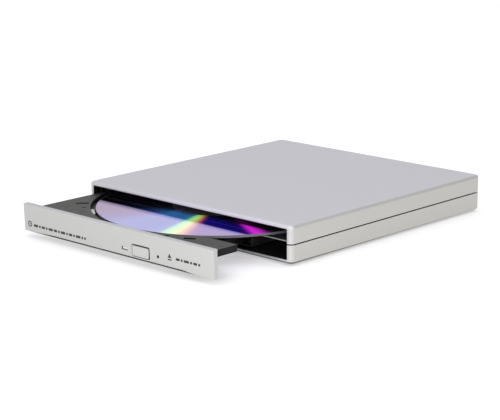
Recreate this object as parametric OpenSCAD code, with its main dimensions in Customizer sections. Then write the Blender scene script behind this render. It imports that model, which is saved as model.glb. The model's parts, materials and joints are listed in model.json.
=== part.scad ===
// Slim external optical drive: a two-shell case around a drive with a sliding disc tray.
// X runs along the front, the front faces -Y, Z is up. The floor under the feet is z = 0, and the
// origin is under the middle of the object as it stands with its tray partly open.
// Inside the modules y = 0 is the case's front face, and the tray is drawn closed, then moved out.

/* [Case] */
// Width of the case
case_w = 138; // [136:1:150]
// Depth of the case, front to back
case_d = 145; // [144:1:165]
// Height of the case without its feet
case_h = 18.2; // [18.2:0.1:20]
// Radius of the four upright corners
corner_r = 2.6; // [1.5:0.1:4]
// Radius of the long top and bottom edges
edge_r = 1; // [0.4:0.1:1.2]
// Thickness of the side and back walls
wall_t = 2.1; // [1.6:0.1:2.1]
// Height of the parting line above the floor
split_z = 10; // [9.6:0.1:11]
// Width of the dark gap between the two covers
split_gap = 0.6; // [0.2:0.05:0.6]
// Height of the rubber feet
foot_h = 0.8; // [0.6:0.1:2]

/* [Front slot] */
// Width of the slot in the front
slot_w = 132; // [131:0.5:134]
// Lowest height of the slot above the floor
slot_low = 2.6; // [2.6:0.1:3]
// Highest height of the slot above the floor
slot_high = 17.1; // [17:0.1:17.3]

/* [Drive] */
// Width of the slim drive
drive_w = 128; // [127.6:0.1:128.4]
// Height of the slim drive
drive_h = 12.7; // [12.7:0.1:12.8]
// Depth of the slim drive without its bezel
drive_d = 127; // [126.5:0.5:128]
// Sheet metal thickness
sheet_t = 0.5; // [0.4:0.05:0.5]
// Height of the thin wing on the right of the drive
wing_h = 6.2; // [6:0.1:6.3]
// Where the step to the wing is, from the middle
step_x = 41; // [41:0.1:42]

/* [Tray] */
// How far the tray stands open
tray_out = 46.2; // [0:0.1:120]
// Width of the bezel
bezel_w = 129.6; // [128:0.1:130.4]
// Height of the bezel
bezel_h = 13.6; // [13:0.1:13.7]
// Thickness of the bezel at its top edge
bezel_t = 3; // [2.6:0.1:3]
// How far the bezel's face leans back at its foot
bezel_lean = 0.5; // [0:0.1:1.2]
// Gap between the bezel and the slot's lower edge
bezel_gap = 0.2; // [0.1:0.05:0.4]
// Diameter of the disc
disc_d = 120; // [120:1:120]
// Thickness of the disc
disc_t = 1.2; // [1.1:0.1:1.3]
// Distance from the bezel's face to the middle of the disc
hub_y = 69.4; // [69.2:0.1:69.7]
// Direction in which the pickup travels, seen from above
sled_angle = 232; // [230:1:233]

/* [Eject button] */
// Width of the eject button
button_w = 10.9; // [8:0.1:12]
// Height of the eject button
button_h = 5; // [4:0.1:5.6]
// How far the button goes in
button_travel = 0.6; // [0.3:0.1:0.8]
// Depth of the button's face behind the bezel's face, negative when it stands proud
button_inset = -0.1; // [-0.3:0.1:0.6]
// Diameter of the emergency eject hole
pinhole_d = 1.5; // [1:0.1:1.6]

/* [Hidden] */

clear = 0.2;             // gap between sliding parts
eps = 0.01;

// Case heights and places
case_low = foot_h;
case_top = foot_h + case_h;
case_mid = foot_h + case_h / 2;
floor_top = case_low + 1.8;
roof_low = case_top - 1.7;
front_y = tray_out / 2 - case_d / 2;       // the case's front face in the object's frame
rim_t = 2.4;                               // depth of the front rim around the slot
back_inner = case_d - wall_t;

// Drive heights and places
drive_low = split_z - drive_h / 2;
drive_top = drive_low + drive_h;
drive_front = 3.5;
drive_back = drive_front + drive_d;
wing_low = drive_top - wing_h;
chassis_floor = drive_low + sheet_t;
lid_low = drive_top - sheet_t;
half_w = drive_w / 2;

// Tray heights and places
bezel_low = slot_low + bezel_gap;
bezel_top = bezel_low + bezel_h;
tray_top = 14.1;
disc_low = 12.5;
ledge_z = 12.1;
pocket_z = 11.6;
deck_low = 10.7;
tray_low = 5.3;
shield_low = 4.75;
shield_t = 0.4;
tray_left = -61;
tray_right = 36;
block_right = 60;
block_back = 20.2;
tray_back = 127;
box_back = 95;
box_wall = 1.2;
block_low = wing_low + sheet_t + 0.25;
pocket_r = 62.4;

// Traverse heights and places, along and across the pickup's travel
rod_z = 8.2;
rod_d = 2;
rod_v = [-15.5, 17];
rod_start = 13.6;
rod_end = 67;
screw_v = -20.6;
screw_d = 1.8;
motor_d = 4.1;
lens_start = 24;
lens_half = 4.6;          // half width of the lens holder across the travel
window_half = lens_half + 0.8;
window_end = 62;
tab_z = 13.1;            // height of the tab at the outer end of the window
tab_v = [-3, 2.4, 6.5];  // across the travel: the tab, and the far end of its plate
tab_end = 65.4;
frame_z = 5.3;
frame_t = 0.8;
bush_top = frame_z + frame_t + 1.2;
fit = 0.05;              // radial clearance of a running shaft

// Face of the bezel: places along X and above the floor
button_x = 18;
button_z = 6.8;
button_room = [0.35, 0.55, 0.25, 0.5];     // room left, right, below and above the button
window_x = 7.5;
window_z = 6.8;
window_w = 4.1;
window_h = 1.6;
pinhole_x = 29.5;
pinhole_z = 6.8;

// Rails
rail_len = 114;
rail_y = 4.6;
guide_len = 124;
left_rail_z = 10.8;
right_rail_z = 9;

// Latch
pivot = [25, 9];
hook = [39, 15.2];
post = [38.7, 12.6];
post_d = 1.6;
solenoid_y = 16.8;
solenoid_z = 7.7;
plunger_d = 2;
slot_end = solenoid_y + 0.6;
push_x = -57;             // place of the eject rod
push_z = 8.6;
latch_z = 5.9;
latch_t = 0.8;
arm_len = 10.3;          // length of the lever's arm to the plunger

screw_head = 3.2;

steel = [0.72, 0.73, 0.74];
silver = [0.77, 0.77, 0.8];
dark_grey = [0.36, 0.36, 0.38];
black = [0.08, 0.08, 0.09];
green = [0.1, 0.35, 0.2];
brass = [0.8, 0.65, 0.35];

// ---------- placing ----------

module in_case() {
    translate([0, front_y, 0]) children();
}

module on_tray() {
    translate([0, front_y - tray_out, 0]) children();
}

module on_rail() {
    translate([0, front_y - tray_out / 2, 0]) children();
}

// X runs along the pickup's travel, with the disc's axis at the origin
module at_hub() {
    translate([0, hub_y, 0]) rotate([0, 0, sled_angle]) children();
}

module on_traverse() {
    on_tray() at_hub() children();
}

// ---------- shared shapes ----------

module block(low, high) {
    translate(low) cube(high - low);
}

module rounded_rect(w, d, r) {
    square([w - 2 * r, d], center = true);
    square([w, d - 2 * r], center = true);
    for (x = [-1, 1], y = [-1, 1]) translate([x * (w / 2 - r), y * (d / 2 - r)]) circle(r = r, $fn = 48);
}

module pillar(d, low, high) {
    translate([0, 0, low]) cylinder(d = d, h = high - low, $fn = 48);
}

// Round bars along X and along Y, from a point
module shaft_x(from, d, length) {
    translate(from) rotate([0, 90, 0]) cylinder(d = d, h = length, $fn = 48);
}

module shaft_y(from, d, length) {
    translate(from) rotate([-90, 0, 0]) cylinder(d = d, h = length, $fn = 48);
}

module ring(outer, inner, low, high) {
    difference() {
        pillar(outer, low, high);
        pillar(inner, low - 1, high + 1);
    }
}

// Pan-head screw that points down, with the underside of its head at z = 0
module screw_down(d, length, head) {
    difference() {
        union() {
            pillar(head, 0, head * 0.3);
            pillar(d, -length, eps);
        }
        for (turn = [0, 90]) rotate([0, 0, turn])
            block([-head * 0.3, -0.2, head * 0.15], [head * 0.3, 0.2, head]);
    }
}

module screw_up(d, length, head) {
    mirror([0, 0, 1]) screw_down(d, length, head);
}

// ---------- case ----------

case_screw_at = [[-58, 137.5], [58, 137.5]];
foot_at = [[-52, 18], [52, 18], [-52, 127], [52, 127]];

module case_block() {
    intersection() {
        translate([0, case_d / 2, case_low - 1])
            linear_extrude(case_h + 2) rounded_rect(case_w, case_d, corner_r);
        translate([0, case_d / 2, case_mid]) rotate([90, 0, 0])
            linear_extrude(case_d + 2, center = true) rounded_rect(case_w, case_h, edge_r);
        translate([0, case_d / 2, case_mid]) rotate([90, 0, 90])
            linear_extrude(case_w + 2, center = true) rounded_rect(case_d, case_h, edge_r);
    }
}

module case_hollow() {
    block([-case_w / 2 + wall_t, rim_t, floor_top], [case_w / 2 - wall_t, back_inner, roof_low]);
    block([-slot_w / 2, -1, slot_low], [slot_w / 2, rim_t + 1, slot_high]);
}

// Ring inside the bottom cover that stands up behind the top cover's wall
module inner_lip() {
    lip = 1.1;
    side = case_w / 2 - wall_t;
    difference() {
        union() {
            block([-side + 0.15, rim_t + 2, split_z - 2], [side - 0.15, back_inner - 0.15, split_z + 1.2]);
            block([-side - 0.4, rim_t + 2, split_z - 2], [side + 0.4, back_inner + 0.4, split_z - 0.8]);
        }
        block([-side + lip, 0, split_z - 4], [side - lip, back_inner - lip, split_z + 4]);
        receptacle_slot();
    }
}

module receptacle_slot() {
    block([-4.1, back_inner - 4, 5], [4.1, case_d + 1, 9.3]);
}

module top_cover() {
    color(silver) in_case() {
        difference() {
            case_block();
            case_hollow();
            block([-case_w, -1, -1], [case_w, case_d + 1, split_z + split_gap / 2]);
        }
        for (at = case_screw_at) translate(at) ring(5, 1.9, split_z + 1.6, roof_low + 0.3);
        // ribs that hold the drive down
        for (x = [-40, 0, 40])
            block([x - 0.6, 6, drive_top + 0.1], [x + 0.6, drive_back - 2, roof_low + 0.3]);
    }
}

module bottom_cover() {
    color(silver) in_case() difference() {
        union() {
            difference() {
                case_block();
                case_hollow();
                block([-case_w, -1, split_z - split_gap / 2], [case_w, case_d + 1, case_top + 1]);
            }
            inner_lip();
            for (at = case_screw_at) translate(at) pillar(5.4, floor_top - 0.3, split_z + 1.4);
            // ribs under the drive and stops behind it
            for (x = [-50, -20, 12, 36])
                block([x - 0.6, 6, floor_top - 0.3], [x + 0.6, drive_back - 2, drive_low - 0.05]);
            for (x = [-54, 36])
                block([x - 3, drive_back + 0.15, floor_top - 0.3], [x + 3, drive_back + 1.4, 9]);
            for (at = board_screw_at) translate(at) pillar(3.6, floor_top - 0.3, board_low);
        }
        for (at = case_screw_at) translate(at) {
            pillar(2.3, 0, split_z + 2);
            pillar(4.2, 0, 4.2);
        }
        for (at = board_screw_at) translate(at) pillar(1.5, floor_top, board_low + 1);
        for (at = foot_at) translate(at) pillar(9.4, 0, case_low + 0.6);
        for (at = drive_screw_at) translate(at) {
            pillar(2.2, 0, drive_low);
            pillar(4.2, 0, case_low + 0.8);
        }
        receptacle_slot();
    }
}

module rubber_feet() {
    color(black) in_case() for (at = foot_at) translate(at) {
        pillar(9, 0.3, case_low + 0.6);
        pillar(8.4, 0, 0.3 + eps);
    }
}

module case_screws() {
    color(steel) in_case() for (at = case_screw_at) translate([at.x, at.y, 4.2]) screw_up(1.9, 11, 3.8);
}

// ---------- bridge board at the back ----------

board_low = 4.2;
board_t = 1;
board_screw_at = [[-27, 138], [27, 138]];
connector_x = -38;
tongue_z = [6.3, 7.5];     // heights of the tongue that enters the drive's connector
drive_screw_at = [[-56, 60], [30, 116]];

module bridge_board() {
    color(green) in_case() difference() {
        union() {
            block([-31, 132.4, board_low], [31, back_inner - 0.5, board_low + board_t]);
            block([-50, 132.4, board_low], [-30, 138, board_low + board_t]);
        }
        for (at = board_screw_at) translate(at) pillar(2.2, 0, 10);
    }
}

module bridge_chips() {
    color(black) in_case() {
        top = board_low + board_t;
        block([-19, 134, top], [-12, 141, top + 0.9]);
        block([10, 134.5, top], [13.2, 136.7, top + 0.8]);
        for (x = [-9, -7, 16, 18.5, 21]) block([x, 134, top], [x + 1, 134.6, top + 0.5]);
    }
}

module bridge_connector() {
    color(black) in_case() {
        top = board_low + board_t;
        block([connector_x - 11, 132.6, top], [connector_x + 11, 135.6, top + 3.4]);
        block([connector_x - 9.5, drive_back - 3, tongue_z[0]], [connector_x + 9.5, 132.7, tongue_z[1]]);
    }
}

module cable_receptacle() {
    top = board_low + board_t;
    color(steel) in_case() {
        difference() {
            block([-3.85, back_inner - 7, top], [3.85, case_d - 0.2, top + 3.9]);
            block([-3.45, back_inner - 6, top + 0.4], [3.45, case_d + 1, top + 3.5]);
        }
        block([-2.2, back_inner - 6.2, top + 1.6], [2.2, case_d - 1.2, top + 2.3]);
    }
}

module bridge_board_screws() {
    color(steel) in_case() for (at = board_screw_at) translate([at.x, at.y, board_low + board_t])
        screw_down(1.5, 2.4, screw_head);
}

// ---------- fixed parts of the drive ----------

lid_screw_at = [[-61.5, 7], [62, 7], [-61.5, 127], [62, 127]];

module drive_chassis() {
    color(steel) in_case() difference() {
        union() {
            // floor, left wall, step wall, wing floor, right wall and back wall
            block([-half_w, drive_front, drive_low], [step_x, drive_back, chassis_floor]);
            block([-half_w, drive_front, drive_low], [-half_w + sheet_t, drive_back, lid_low]);
            block([step_x - sheet_t, drive_front, drive_low], [step_x, drive_back, wing_low + sheet_t]);
            block([step_x - sheet_t, drive_front, wing_low], [half_w, drive_back, wing_low + sheet_t]);
            block([half_w - sheet_t, drive_front, wing_low], [half_w, drive_back, lid_low]);
            block([-half_w, drive_back - sheet_t, drive_low], [step_x, drive_back, lid_low]);
            block([step_x - sheet_t, drive_back - sheet_t, wing_low], [half_w, drive_back, lid_low]);
            for (at = lid_screw_at) chassis_tab(at);
        }
        for (at = lid_screw_at) translate(at) pillar(1.4, lid_low - 2, lid_low + 1);
        for (at = drive_screw_at) translate(at) pillar(1.7, 0, 8);
        translate(post) pillar(post_d, 0, 8);
        // opening for the connector, and cooling slots in the wing
        block([connector_x - 10, drive_back - 2, board_low + 1.6], [connector_x + 10, drive_back + 1, 8.4]);
        for (i = [0:5]) block([47, 40 + 12 * i, wing_low - 1], [58, 43 + 12 * i, wing_low + 1]);
    }
}

// Small shelf bent in from the side wall under a lid screw
module chassis_tab(at) {
    reach = at.x < 0 ? [-half_w, at.x + 1.5] : [at.x - 1.5, half_w];
    block([reach[0], at.y - 1.8, lid_low - sheet_t], [reach[1], at.y + 1.8, lid_low]);
}

module drive_lid() {
    color(steel) in_case() difference() {
        union() {
            difference() {
                block([-half_w, drive_front, lid_low], [half_w, drive_back, drive_top]);
                translate([0, hub_y, 0]) pillar(32, lid_low - 1, lid_low + 0.2);
            }
            // shallow stiffening ridges pressed down into the lid
            for (x = [-48, 48]) block([x - 1.5, 24, lid_low - 0.3], [x + 1.5, 112, lid_low + eps]);
        }
        for (at = lid_screw_at) translate(at) {
            pillar(1.8, 0, drive_top + 1);
            pillar(2.6, drive_top - 0.3, drive_top + 1);
        }
    }
}

module lid_screws() {
    color(steel) in_case() for (at = lid_screw_at) translate([at.x, at.y, drive_top - 0.3])
        screw_down(1.4, 1.4, 2.4);
}

module drive_screws() {
    color(steel) in_case() for (at = drive_screw_at) translate([at.x, at.y, case_low + 0.8])
        screw_up(1.7, 2.9, 3.4);
}

module main_board() {
    color(green) in_case() difference() {
        block([-58, 99, chassis_floor + 0.15], [34, 128.8, chassis_floor + 0.95]);
        for (at = drive_screw_at) translate(at) pillar(3, 0, 8);
    }
}

module main_board_chips() {
    top = chassis_floor + 0.95;
    color(black) in_case() {
        block([-22, 106, top], [-8, 120, top + 1.2]);
        block([2, 108, top], [12, 115, top + 1]);
        block([16, 104, top], [22, 110, top + 1.2]);
        for (x = [-50, -45, -40, -4, 27]) block([x, 103, top], [x + 1.6, 103.8, top + 0.7]);
    }
}

module drive_connector() {
    top = chassis_floor + 0.95;
    color(black) in_case() difference() {
        block([connector_x - 9.8, drive_back - 7, top], [connector_x + 9.8, drive_back - 0.8, top + 3]);
        block([connector_x - 9.6, drive_back - 4, tongue_z[0] - 0.05],
            [connector_x + 9.6, drive_back, tongue_z[1] + 0.05]);
    }
}

// Flat ribbon laid on the chassis floor, from the main board to its fold under the tray
module tray_ribbon() {
    color(black) in_case() {
        block([-8, 40, chassis_floor + 0.02], [10, 98.6, chassis_floor + 0.17]);
        block([-8, 40, chassis_floor + 0.02], [10, 40.15, chassis_floor + 0.45]);
        block([-8, 40, chassis_floor + 0.3], [10, 60, chassis_floor + 0.45]);
    }
}

// Channel, open towards +X: outer sizes along X and Z, with its back at x = 0
module channel(depth, height, back, lip, length) {
    translate([0, 0, -height / 2]) {
        cube([back, length, height]);
        cube([depth, length, lip]);
        translate([0, 0, height - lip]) cube([depth, length, lip]);
    }
}

module left_guide() {
    color(black) in_case() translate([-half_w + sheet_t + 0.02, drive_front + 0.8, left_rail_z])
        channel(1.5, 5.4, 0.5, 0.5, guide_len);
}

module right_guide() {
    color(black) in_case() translate([step_x - sheet_t - 0.02, drive_front + 0.8, right_rail_z])
        mirror([1, 0, 0]) channel(1.7, 3.2, 0.4, 0.4, guide_len);
}

module left_rail() {
    color(steel) on_rail() translate([-half_w + sheet_t + 0.5 + clear, rail_y, left_rail_z])
        channel(1.2, 4, 0.5, 0.5, rail_len);
}

module right_rail() {
    color(black) on_rail() translate([step_x - sheet_t - 0.4 - clear, rail_y, right_rail_z]) mirror([1, 0, 0])
        channel(1.6, 2, 0.4, 0.4, rail_len);
}

module catch_post() {
    color(steel) in_case() translate(post) {
        pillar(post_d, drive_low + 0.05, 7);
        pillar(2.6, drive_low + sheet_t, drive_low + sheet_t + 0.4);
    }
}

// ---------- tray ----------

shield_screw_at = [[-54, 52], [30, 52], [30, 90], [-54, 90]];
bush_at = [[6, 23], [-8, -20], [67, 5.5]];
bush_screw_d = 1.5;

module tray_outline() {
    translate([tray_left, bezel_t + 0.05]) square([tray_right - tray_left, tray_back - bezel_t]);
    translate([0, bezel_t + 0.05]) square([block_right, block_back - bezel_t]);
}

// Slot in the pocket's floor for the hub and for the pickup's travel
module pickup_window(low, high) {
    translate([0, hub_y, 0]) {
        pillar(36, low, high);
        rotate([0, 0, sled_angle]) block([0, -window_half, low], [window_end, window_half, high]);
    }
}

module tray() {
    color(dark_grey) on_tray() {
        difference() {
            translate([0, 0, deck_low]) linear_extrude(tray_top - deck_low) tray_outline();
            translate([0, hub_y, 0]) {
                pillar(2 * pocket_r, ledge_z, tray_top + 1);
                pillar(2 * 57, pocket_z, tray_top + 1);
            }
            pickup_window(deck_low - 1, tray_top + 1);
            // under the rim, room for the bent tab at the window's end and for its plate
            at_hub() {
                block([window_end - 1, tab_v[0] - 0.4, deck_low - 1],
                      [tab_end + 0.4, tab_v[1] + 0.4, tab_z + 0.4]);
                block([window_end - 1, tab_v[0] - 0.4, tab_z - 0.9],
                      [tab_end + 0.4, tab_v[2] + 0.4, tab_z + 0.4]);
            }
            for (at = shield_screw_at) translate(at) pillar(1.4, 0, pocket_z - 0.3);
            // narrow slots moulded beside the pocket
            translate([-50.2, 25.4, tray_top - 0.5]) rotate([0, 0, 42]) cube([6.4, 2.2, 2], center = true);
            translate([-43.3, 20.2, tray_top - 0.5]) cylinder(d = 1.8, h = 2, $fn = 24);
            translate([37, 13.3, tray_top - 0.5]) rotate([0, 0, 30]) cube([5.6, 2.4, 2], center = true);
            translate([25.4, 9.4, tray_top - 0.5]) rotate([0, 0, 30]) cube([3.4, 1.6, 2], center = true);
            // relief under the block that passes over the wing
            block([tray_right + 0.2, 0, 0], [block_right + 1, block_back + 1, block_low]);
        }
        difference() {
            union() {
                tray_walls();
                // ribs that run in the rails
                block([tray_left - 1, 6, left_rail_z - 1.3], [-59.9, 126, left_rail_z + 1.3]);
                block([tray_right - 0.1, 6, right_rail_z - 0.4], [38.6, 126, right_rail_z + 0.4]);
                for (at = shield_screw_at) translate(at) pillar(3.6, tray_low, deck_low + 0.2);
                at_hub() for (at = bush_at) translate(at) pillar(3.8, bush_top + 0.05, deck_low + 0.2);
                // tube for the eject rod
                shaft_y([push_x, 97, push_z], 3.6, 30);
                block([push_x - 0.6, 97, push_z], [push_x + 0.6, 127, deck_low + 0.2]);
            }
            for (at = shield_screw_at) translate(at) pillar(1.4, 0, pocket_z - 0.3);
            at_hub() for (at = bush_at) translate(at) pillar(bush_screw_d, 0, deck_low + 0.1);
            shaft_y([push_x, 96, push_z], 2.5, 40);
            // the eject latch reaches out through the right wall
            block([tray_right - 3, pivot.y - 1, latch_z - 0.4],
                  [tray_right + 1, hook.y + 8, latch_z + latch_t + 0.4]);
        }
    }
}

// Walls of the deep box under the deck
module tray_walls() {
    difference() {
        block([-60, 3.6, tray_low], [tray_right, box_back, deck_low + 0.1]);
        block([-60 + box_wall, 3.6 + box_wall, tray_low - 1],
              [tray_right - box_wall, box_back - box_wall, deck_low + 1]);
        // the front wall is open behind the button, the light and the pinhole
        block([-2, 0, tray_low - 1], [33, 6, 10.3]);
    }
}

// Side outline of the bezel: the face leans back towards its foot
module bezel_profile() {
    r = 0.6;
    difference() {
        polygon([[0, bezel_top], [bezel_t, bezel_top], [bezel_t, bezel_low], [bezel_lean, bezel_low]]);
        translate([bezel_lean - 1, bezel_low - 1]) rotate(45) square(r * 2.1, center = true);
    }
}

module tray_bezel() {
    color(silver) on_tray() difference() {
        intersection() {
            translate([-bezel_w / 2, 0, 0]) rotate([90, 0, 90]) linear_extrude(bezel_w) bezel_profile();
            translate([0, 5, bezel_low]) linear_extrude(bezel_h) rounded_rect(bezel_w, 10, 0.8);
        }
        block([button_x - button_w / 2 - button_room[0], -1, button_z - button_h / 2 - button_room[2]],
              [button_x + button_w / 2 + button_room[1], 6, button_z + button_h / 2 + button_room[3]]);
        translate([window_x, 0, window_z]) cube([window_w, 12, window_h], center = true);
        shaft_y([pinhole_x, -1, pinhole_z], pinhole_d, 8);
    }
}

// Leaning slab behind a window or a button, from the face's own plane inwards
module face_slab(x, z, w, h, inset, back) {
    lean = bezel_lean / bezel_h;
    low = z - h / 2;
    high = z + h / 2;
    y_at = function (height) (bezel_top - height) * lean + inset;
    translate([x - w / 2, 0, 0]) rotate([90, 0, 90]) linear_extrude(w)
        polygon([[y_at(low), low], [y_at(high), high], [back, high], [back, low]]);
}

module eject_button() {
    color(silver) on_tray() {
        face_slab(button_x, button_z, button_w, button_h, button_inset, 3.2);
        shaft_y([button_x, 3.1, button_z], 2, 1.6 - button_travel);
    }
}

module light_pipe() {
    color([0.85, 0.87, 0.86]) on_tray() {
        face_slab(window_x, window_z, window_w - 0.1, window_h - 0.1, 0.5, 4.6);
        block([window_x - 1, 4.5, window_z - 0.6], [window_x + 1, 5.6, window_z + 0.6]);
    }
}

module front_board() {
    color(green) on_tray() block([0, 6.6, tray_low + 0.1], [21.6, 12, tray_low + 0.9]);
}

module indicator_light() {
    color([0.9, 0.95, 0.9]) on_tray()
        block([window_x - 0.8, 6.7, tray_low + 0.9], [window_x + 0.8, 7.5, tray_low + 2.4]);
}

module eject_switch() {
    color(black) on_tray() {
        block([button_x - 2.2, 6.8, tray_low + 0.9], [button_x + 2.2, 9.4, tray_low + 3.9]);
        shaft_y([button_x, 4.8, button_z], 1.1, 2.1);
    }
}

module bottom_shield() {
    color(steel) on_tray() difference() {
        block([-59.6, 4, shield_low], [tray_right - 0.4, box_back - 0.2, shield_low + shield_t]);
        for (at = shield_screw_at) translate(at) pillar(1.7, 0, 8);
        for (i = [0:4]) block([-52 + 9 * i, 58, 0], [-48 + 9 * i, 84, 8]);
        // the heads of the traverse screws stand in holes
        at_hub() for (at = bush_at) translate(at) pillar(3.4, 0, 8);
    }
}

module shield_screws() {
    color(steel) on_tray() for (at = shield_screw_at) translate([at.x, at.y, shield_low])
        screw_up(1.4, 4.2, 1.9);
}

// ---------- traverse unit ----------

module traverse_frame() {
    color(steel) on_traverse() difference() {
        union() {
            translate([0, 0, frame_z]) linear_extrude(frame_t) difference() {
                polygon([[-15.5, -19], [-10, -24.5], [14, -24.5], [61, -22.5], [67, -18], [69.5, -9],
                         [69.5, 8], [66.4, 18.2], [61, 20.6], [12, 26], [-12, 26], [-17, 20]]);
                translate([14.2, -18.9]) square([50.3, 38.3]);
                for (at = bush_at) translate(at) circle(d = 3.4, $fn = 32);
            }
            // rod seats at both ends
            for (v = rod_v, u = [rod_start - 0.8, rod_end - 2.2])
                block([u, v - 1.5, frame_z], [u + 1.5, v + 1.5, rod_z + 1]);
            // bent tab with a short plate that shows between the disc and the pocket's wall
            block([tab_end - 0.8, tab_v[0], frame_z], [tab_end, tab_v[1], tab_z]);
            block([60.5, tab_v[0], tab_z - 0.5], [tab_end, tab_v[2], tab_z]);
            // bearing for the outer end of the lead screw
            block([61, screw_v - 1.6, frame_z], [62.2, screw_v + 1.6, rod_z + 1.6]);
        }
        for (v = rod_v) shaft_x([0, v, rod_z], rod_d + 0.04, 90);
        shaft_x([55, screw_v, rod_z], screw_d - 0.6 + 2 * fit, 12);
        for (at = [[9, 9], [9, -9], [-12, 0]]) translate(at) pillar(1.6, 0, 8);
    }
}

module damper_bushes() {
    color(black) on_traverse() for (at = bush_at) translate(at) difference() {
        union() {
            pillar(3.3, frame_z - 0.05, frame_z + frame_t + 0.1);
            pillar(4.4, frame_z + frame_t + 0.02, bush_top);
        }
        pillar(bush_screw_d + 0.1, 0, 12);
    }
}

module traverse_screws() {
    color(steel) on_traverse() for (at = bush_at) translate([at.x, at.y, frame_z - 0.1])
        screw_up(bush_screw_d, 4.6, 2.6);
}

module spindle_motor() {
    color([0.3, 0.3, 0.32]) on_tray() translate([0, hub_y, 0]) {
        pillar(25, frame_z + frame_t + 0.02, 7.6);
        ring(6, 2.1, 7.5, 9.6);
    }
}

module guide_rods() {
    color(steel) on_traverse() for (v = rod_v)
        shaft_x([rod_start - 0.7, v, rod_z], rod_d, rod_end - rod_start);
}

module rod_clamps() {
    color(steel) on_traverse() for (v = rod_v, u = [rod_start - 0.1, rod_end - 1.5])
        block([u - 0.6, v - 1.4, rod_z + 1.02], [u + 0.6, v + 1.4, rod_z + 1.4]);
}

module sled_motor() {
    color(steel) on_traverse() {
        shaft_x([1, screw_v, rod_z], motor_d, 11);
        foot = screw_v - motor_d / 2;
        block([9, foot - 0.3, frame_z + frame_t + 0.02], [12, foot + 0.5, rod_z + 1]);
    }
}

module lead_screw() {
    color(steel) on_traverse() {
        shaft_x([12.4, screw_v, rod_z], screw_d, 48.2);
        shaft_x([60.5, screw_v, rod_z], screw_d - 0.6, 2);
        for (i = [0:13]) shaft_x([15 + 3.2 * i, screw_v, rod_z], screw_d + 0.4, 1.2);
    }
}

// Sled that carries the lens, drawn at the disc's innermost track
module pickup_body() {
    back = lens_start - 9.6;
    front = lens_start + 6.4;
    color([0.45, 0.46, 0.48]) on_traverse() difference() {
        translate([0, 0, 6.5]) linear_extrude(3.6)
            polygon([[back, -18], [back, 18.4], [front - 4, 18.4],
                     [front, 13], [front, -12], [front - 4, -18]]);
        for (v = rod_v) shaft_x([back - 1, v, rod_z], rod_d + 2 * fit, 30);
        // the second rod runs in an open fork
        block([back - 1, rod_v[1], rod_z - rod_d / 2 - fit], [front + 1, 20, rod_z + rod_d / 2 + fit]);
        // well for the lens drive, and pocket for the laser
        block([lens_start - 4.4, -5.6, 7.4], [lens_start + 4.4, 5.6, 11]);
        block([back - 1, -14, 7.2], [back + 4.5, -8.5, 11]);
    }
}

module pickup_cover() {
    color(steel) on_traverse() difference() {
        block([lens_start - 8.6, -12.8, 10.12], [lens_start + 6, 12.8, 10.4]);
        block([lens_start - 4.4, -5.6, 9], [lens_start + 4.4, 5.6, 12]);
    }
}

module laser_unit() {
    back = lens_start - 9.6;
    color(brass) on_traverse() block([back, -13.4, 7.3], [back + 4.2, -9.1, 9.9]);
}

module pickup_ribbon() {
    color([0.75, 0.45, 0.1]) on_traverse() block([lens_start - 9.4, 1, 6.2], [lens_start - 2, 13, 6.4]);
}

module lens_holder() {
    color(black) on_traverse() translate([lens_start, 0, 0]) difference() {
        block([-3.4, -lens_half, 8.2], [3.4, lens_half, 10.9]);
        pillar(4.2, 8, 12);
    }
}

module objective_lens() {
    color([0.6, 0.7, 0.9]) on_traverse() translate([lens_start, 0, 0]) intersection() {
        pillar(4.2, 9.6, 11.4);
        translate([0, 0, 6.6]) sphere(r = 4.7, $fn = 64);
    }
}

// ---------- spindle ----------

module turntable() {
    color([0.3, 0.3, 0.32]) on_tray() translate([0, hub_y, 0]) difference() {
        union() {
            pillar(24, 9.9, 10.9);
            pillar(28, 10.9, disc_low - 0.3);
            pillar(14.9, disc_low - 0.4, disc_low + disc_t + 0.3);
            translate([0, 0, disc_low + disc_t + 0.25]) cylinder(d1 = 14.6, d2 = 12, h = 0.8, $fn = 48);
            pillar(2, 7.7, 10);
        }
        for (turn = [0, 120, 240]) rotate([0, 0, turn]) block([4.6, -1.5, disc_low], [8, 1.5, 16]);
    }
}

module hub_claws() {
    color(black) on_tray() translate([0, hub_y, 0]) for (turn = [0, 120, 240]) rotate([0, 0, turn]) {
        block([4.7, -1.4, disc_low + 0.05], [6.9, 1.4, disc_low + disc_t + 0.9]);
        block([6.8, -1.4, disc_low + disc_t + 0.12], [7.9, 1.4, disc_low + disc_t + 0.7]);
    }
}

module friction_ring() {
    color(black) on_tray() translate([0, hub_y, 0]) ring(27.4, 21, disc_low - 0.29, disc_low - 0.02);
}

module disc() {
    color([0.7, 0.68, 0.8]) on_tray() translate([0, hub_y, 0]) difference() {
        union() {
            pillar(disc_d, disc_low, disc_low + disc_t);
            ring(35, 33.4, disc_low - 0.15, disc_low + eps);
        }
        pillar(15.05, 0, 20);
    }
}

// ---------- latch and eject ----------

// Flat lever drawn latched: pivot at the left, hook on the right behind the post
module latch_lever() {
    color(steel) on_tray() difference() {
        union() {
            translate([pivot.x, pivot.y, 0]) pillar(4, latch_z, latch_z + latch_t);
            translate([0, 0, latch_z]) linear_extrude(latch_t) {
                polygon([pivot + [0.5, -1.9], [32.5, 10.6], [33.5, 13.9], [hook.x + 0.5, hook.y - 1.3],
                         [hook.x + 0.5, hook.y], [32, 16.4], [29.5, 13.2], pivot + [-0.5, 1.9]]);
                polygon([pivot + [-1.9, 0], pivot + [1.9, 0],
                         pivot + [1.2, arm_len], pivot + [-1.2, arm_len]]);
            }
        }
        translate(pivot) pillar(1.6, 0, 12);
        // slot along the arm for the plunger's pin
        for (y = [solenoid_y, slot_end]) translate([pivot.x, y]) pillar(1.4, 0, 12);
        block([pivot.x - 0.7, solenoid_y, 0], [pivot.x + 0.7, slot_end, 12]);
    }
}

module latch_pin() {
    color(steel) on_tray() translate(pivot) pillar(1.5, shield_low + shield_t + 0.02, deck_low);
}

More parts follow.
